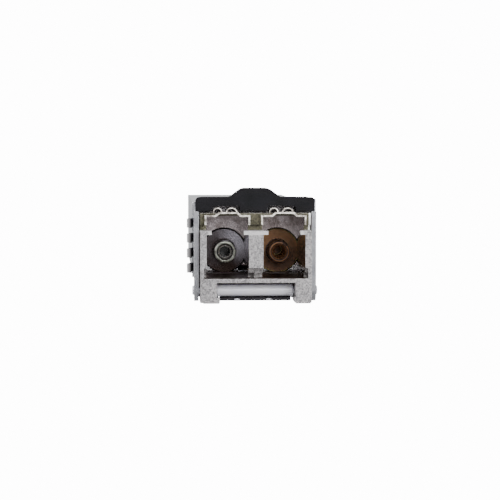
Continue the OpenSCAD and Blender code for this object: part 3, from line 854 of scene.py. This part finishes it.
def hood_front(middle, normal):
    """The sheared front edge of a hood, given a painted highlight."""
    return normal.y < -SHEARED_EDGE


def finger_front(middle, normal):
    """The faces of the spring fingers that slope up from their tips."""
    return normal.y < -SLOPE and middle.y < COLLAR_MIDDLE


def tube_tip(middle, normal):
    """The flat ring at the front of a receptacle's tube."""
    return middle.y < TIP_Y + TIP_SKIN and normal.y < -SQUARE_ON


def tube_side(middle, normal):
    """The amber tube outside its mouth, darkened with painted shade."""
    return middle.y < TIP_Y + TUBE_LENGTH and MOUTH_R <= axis_distance(middle) < TUBE_R


def tube_bore(middle, normal):
    """The funnel and the bore inside a tube, which get painted shade."""
    inside = axis_distance(middle) < MOUTH_R and middle.y < TIP_Y + BORE_DEPTH
    return inside and normal.y > -SQUARE_ON


def arm_inside(middle, normal):
    """The inner face of the right arm, with a painted highlight beside the hoods."""
    return middle.x > NOSE_INNER_X and normal.x < -SQUARE_ON


NOSE_RULES = (
    ("port_wall", port_side),
    ("port_floor", port_base),
    ("hood_wall", upper_wall),
    ("recess", lower_recess),
    ("tip", ledge_tip),
    ("gap_dark", shoulder_front),
)
HOOD_RULES = (("bright_rim", hood_front),)
LEFT_TUBE_RULES = (("ring_tip", tube_tip), ("bore", tube_bore))
RIGHT_TUBE_RULES = (("amber_tube", tube_side), ("amber_bore", tube_bore))
GRIP_SEGMENTS = 3

# CAD node, finish, edge in millimetres, the edge's own finish, face rules, bevel segments
SKINS = (
    ("nose_housing", "nose", 0.11, "nose_rim", NOSE_RULES),
    ("base_housing", "shell", 0.06, None, (("saddle", saddle_face),)),
    ("top_cover", "cover", 0.06),
    ("top_label", "label", 0.0),
    ("cover_screws", "dark_steel", 0.04),
    ("latch_hood_left", "bright", 0.03, "bright_rim", HOOD_RULES),
    ("latch_hood_right", "bright", 0.03, "bright_rim", HOOD_RULES),
    ("emi_collar", "spring", 0.03, None, (("finger_front", finger_front),)),
    ("emi_plate", "bright", 0.03),
    ("osa_clamp", "dark_steel", 0.04),
    ("tosa_receptacle", "turned", 0.09, "turned_rim", LEFT_TUBE_RULES),
    ("tosa_sleeve", "white_ceramic", 0.02),
    ("tosa_stub", "dark_ceramic", 0.02),
    ("tosa_can", "gold", 0.05),
    ("tosa_flex", "film", 0.0),
    ("rosa_receptacle", "amber", 0.13, "amber_rim", RIGHT_TUBE_RULES),
    ("rosa_can", "gold", 0.05),
    ("rosa_flex", "film", 0.0),
    ("pcb", "board", 0.04),
    ("contacts_top", "gold", 0.008),
    ("contacts_bottom", "gold", 0.008),
    ("laser_driver", "chip", 0.05),
    ("post_amplifier", "chip", 0.05),
    ("microcontroller", "chip", 0.05),
    ("passives", "tan", 0.03),
    ("thermal_pad", "pad", 0.08),
    ("latch_plate", "dark_steel", 0.04),
    ("latch_plate_rivets", "pin", 0.05),
    ("latch_pin", "pin", 0.04),
    # The lever's dark finish is partly painted shade under the pin
    ("latch_lever", "dark_steel", 0.04),
    ("bail_frame", "arm", 0.05, "arm_rim", (("tip", arm_inside),)),
    ("bail_grip", "grip", 0.1, None, (), GRIP_SEGMENTS),
    ("bail_shaft", "pin", 0.06),
    ("cam_sleeve", "cam", 0.06),
)
for skin in SKINS:
    dressed(*skin)


# ---- The lever's dents and spring ----

DENTS_X = (-2.05, 1.49)
DENT_Z = 0.33
DENT_R = 0.1
DENT_HEIGHT = 0.1
DENT_SINK = 0.02
DENT_STRETCH = (3.0, 1.0, 1.0)
DENT_SIDES = 32
CROWN_SHARE = 0.55
CROWN_RISES = (0.3, 0.12)
FACING_FRONT = (math.radians(90), 0, 0)


def place_fixed(piece, name, key, node):
    """Settles a new piece at the origin, with its finish, and lets it ride with a CAD node."""
    piece.name = name
    only(piece)
    bpy.ops.object.transform_apply(location=True, rotation=True, scale=True)
    piece.data.materials.clear()
    piece.data.materials.append(FINISH[key])
    bpy.ops.object.shade_smooth_by_angle(angle=SMOOTH_ANGLE)
    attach(piece, body_of(node))
    slot_of(node)


def joined(parts):
    """One piece from several, as the first of them."""
    nothing_selected()
    for part in parts:
        part.select_set(True)
    bpy.context.view_layer.objects.active = parts[0]
    bpy.ops.object.join()
    return parts[0]


def button(place, radius, height, turn):
    """A low round button with a domed face, raised along its own +Z from place."""
    nothing_selected()
    bpy.ops.mesh.primitive_cylinder_add(vertices=DENT_SIDES, radius=radius * MM, depth=height * MM)
    piece = bpy.context.active_object
    bpy.ops.object.mode_set(mode="EDIT")
    bpy.ops.mesh.select_mode(type="FACE")
    bpy.ops.mesh.select_all(action="DESELECT")
    bpy.ops.object.mode_set(mode="OBJECT")
    for face in piece.data.polygons:
        face.select = face.normal.z > SQUARE_ON
    bpy.ops.object.mode_set(mode="EDIT")
    for rise in CROWN_RISES:
        bpy.ops.mesh.inset(thickness=radius * (1 - CROWN_SHARE) / 2 * MM)
        bpy.ops.transform.translate(value=(0, 0, height * rise * MM))
    bpy.ops.mesh.select_all(action="DESELECT")
    bpy.ops.object.mode_set(mode="OBJECT")
    piece.location = Vector(place) * MM
    piece.rotation_euler = turn
    return piece


lever_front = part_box("latch_lever")[0].y / MM
dents = []
for dent_x in DENTS_X:
    dent = button((dent_x, lever_front + DENT_SINK, DENT_Z), DENT_R, DENT_HEIGHT, FACING_FRONT)
    dent.scale = DENT_STRETCH
    dents.append(dent)
# The dents take the bright pin finish: painted glints on the dark lever
place_fixed(joined(dents), "lever_dents", "pin", "latch_lever")

spring = dressed("latch_spring", "spring", 0.02)
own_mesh(spring)


# ---- Floor, light and camera ----

FLOOR_METRES = 4.0
FLOOR_CELLS = 4
FLOOR_GAP = 0.15
STAGE_WHITE = 14.0
FLOOR_GREY = (0.35, 0.35, 0.35, 1)
FLOOR_MIRRORED = 0.9
CLEAR_WHITE = (1, 1, 1, 1)

# The world's light all round, and what is added towards each side
WORLD_BASE = 0.42
WORLD_BACK = 0.5
WORLD_ABOVE = 0.55
WORLD_LEFT = 0.3
BACK_SPAN = (0.1, 0.9)
ABOVE_SPAN = (0.15, 0.9)
LEFT_SPAN = (0.2, 0.9)

# Name, place, aim and size in millimetres, and watts
SOFT_BOXES = (
    ("key_box", (-120, -190, 150), (0, -20, 5), (160, 120), 0.28),
    ("low_box", (70, -210, 55), (0, -26, 3), (170, 60), 0.3),
    ("top_box", (0, 10, 190), (0, 0, 5), (220, 220), 0.22),
)

SENSOR_WIDTH = 36.0
LENS = 118.1
CLIP_START_METRES = 0.005
CAMERA_PLACE = Vector((-10.1, FRONT_Y - 180.0, 16.15))
CAMERA_TARGET = Vector((-0.685, FRONT_Y, 5.94))


def studio_floor():
    """A wide pale floor: plain white to the camera, pale in reflections, and clear from below."""
    nothing_selected()
    cells = {"x_subdivisions": FLOOR_CELLS, "y_subdivisions": FLOOR_CELLS}
    bpy.ops.mesh.primitive_grid_add(size=FLOOR_METRES, **cells)
    floor = bpy.context.active_object
    floor.name = "studio_floor"
    floor.data.transform(floor.matrix_world)
    floor.location = (0, 0, 0)
    for vertex in floor.data.vertices:
        vertex.co.z = cad_bounds[0][2] - FLOOR_GAP * MM
    f = finish("pale_floor")
    seen = f.node("ShaderNodeLightPath", output="Is Camera Ray")
    mirrored = f.node("ShaderNodeLightPath", output="Is Glossy Ray")
    matte = f.node("ShaderNodeBsdfDiffuse", None, {"Color": FLOOR_GREY})
    white = f.node("ShaderNodeEmission", None, {"Color": CLEAR_WHITE, "Strength": STAGE_WHITE})
    sheen = f.node("ShaderNodeEmission", None, {"Color": CLEAR_WHITE, "Strength": FLOOR_MIRRORED})
    plain = f.node("ShaderNodeMixShader", None, {0: mirrored, 1: matte, 2: sheen})
    both = f.node("ShaderNodeMixShader", None, {0: seen, 1: plain, 2: white})
    below = f.node("ShaderNodeNewGeometry", output="Backfacing")
    clear = f.node("ShaderNodeBsdfTransparent")
    shown = f.node("ShaderNodeMixShader", None, {0: below, 1: both, 2: clear})
    f.node("ShaderNodeOutputMaterial", None, {"Surface": shown})
    floor.data.materials.append(f.owner)


def studio_world():
    """Soft light all round: brightest behind and above, some from the left, and dimmer in front."""
    world = bpy.data.worlds.new("studio_world")
    bpy.context.scene.world = world
    f = Finish(world)
    x, y, z = f.parts(f.node("ShaderNodeTexCoord", output="Generated"))
    back = y.ramp(*BACK_SPAN)
    above = z.ramp(*ABOVE_SPAN)
    left = (0 - x).ramp(*LEFT_SPAN)
    light = WORLD_BASE + back * WORLD_BACK + above * WORLD_ABOVE + left * WORLD_LEFT
    seen = f.node("ShaderNodeLightPath", output="Is Camera Ray")
    strength = light * (1 - seen) + seen * STAGE_WHITE
    shown = f.node("ShaderNodeBackground", None, {"Color": CLEAR_WHITE, "Strength": strength})
    f.node("ShaderNodeOutputWorld", None, {"Surface": shown})


def soft_box(name, place, aim, size, watts):
    """A rectangular lamp turned towards its aim."""
    lamp = bpy.data.lights.new(name, "AREA")
    lamp.shape = "RECTANGLE"
    lamp.size, lamp.size_y = [side * MM for side in size]
    lamp.energy = watts
    holder = bpy.data.objects.new(name, lamp)
    bpy.context.scene.collection.objects.link(holder)
    holder.location = Vector(place) * MM
    direction = (Vector(aim) - Vector(place)).normalized()
    holder.rotation_euler = direction.to_track_quat("-Z", "Y").to_euler()


def studio_camera():
    """A long lens in front of the ports, a little above them and to their left."""
    data = bpy.data.cameras.new("camera")
    data.sensor_width = SENSOR_WIDTH
    data.lens = LENS
    data.clip_start = CLIP_START_METRES
    camera = bpy.data.objects.new("camera", data)
    bpy.context.scene.collection.objects.link(camera)
    camera.location = CAMERA_PLACE * MM
    camera.rotation_euler = (CAMERA_TARGET - CAMERA_PLACE).to_track_quat("-Z", "Y").to_euler()
    bpy.context.scene.camera = camera


studio_floor()
studio_world()
for soft_box_row in SOFT_BOXES:
    soft_box(*soft_box_row)
studio_camera()
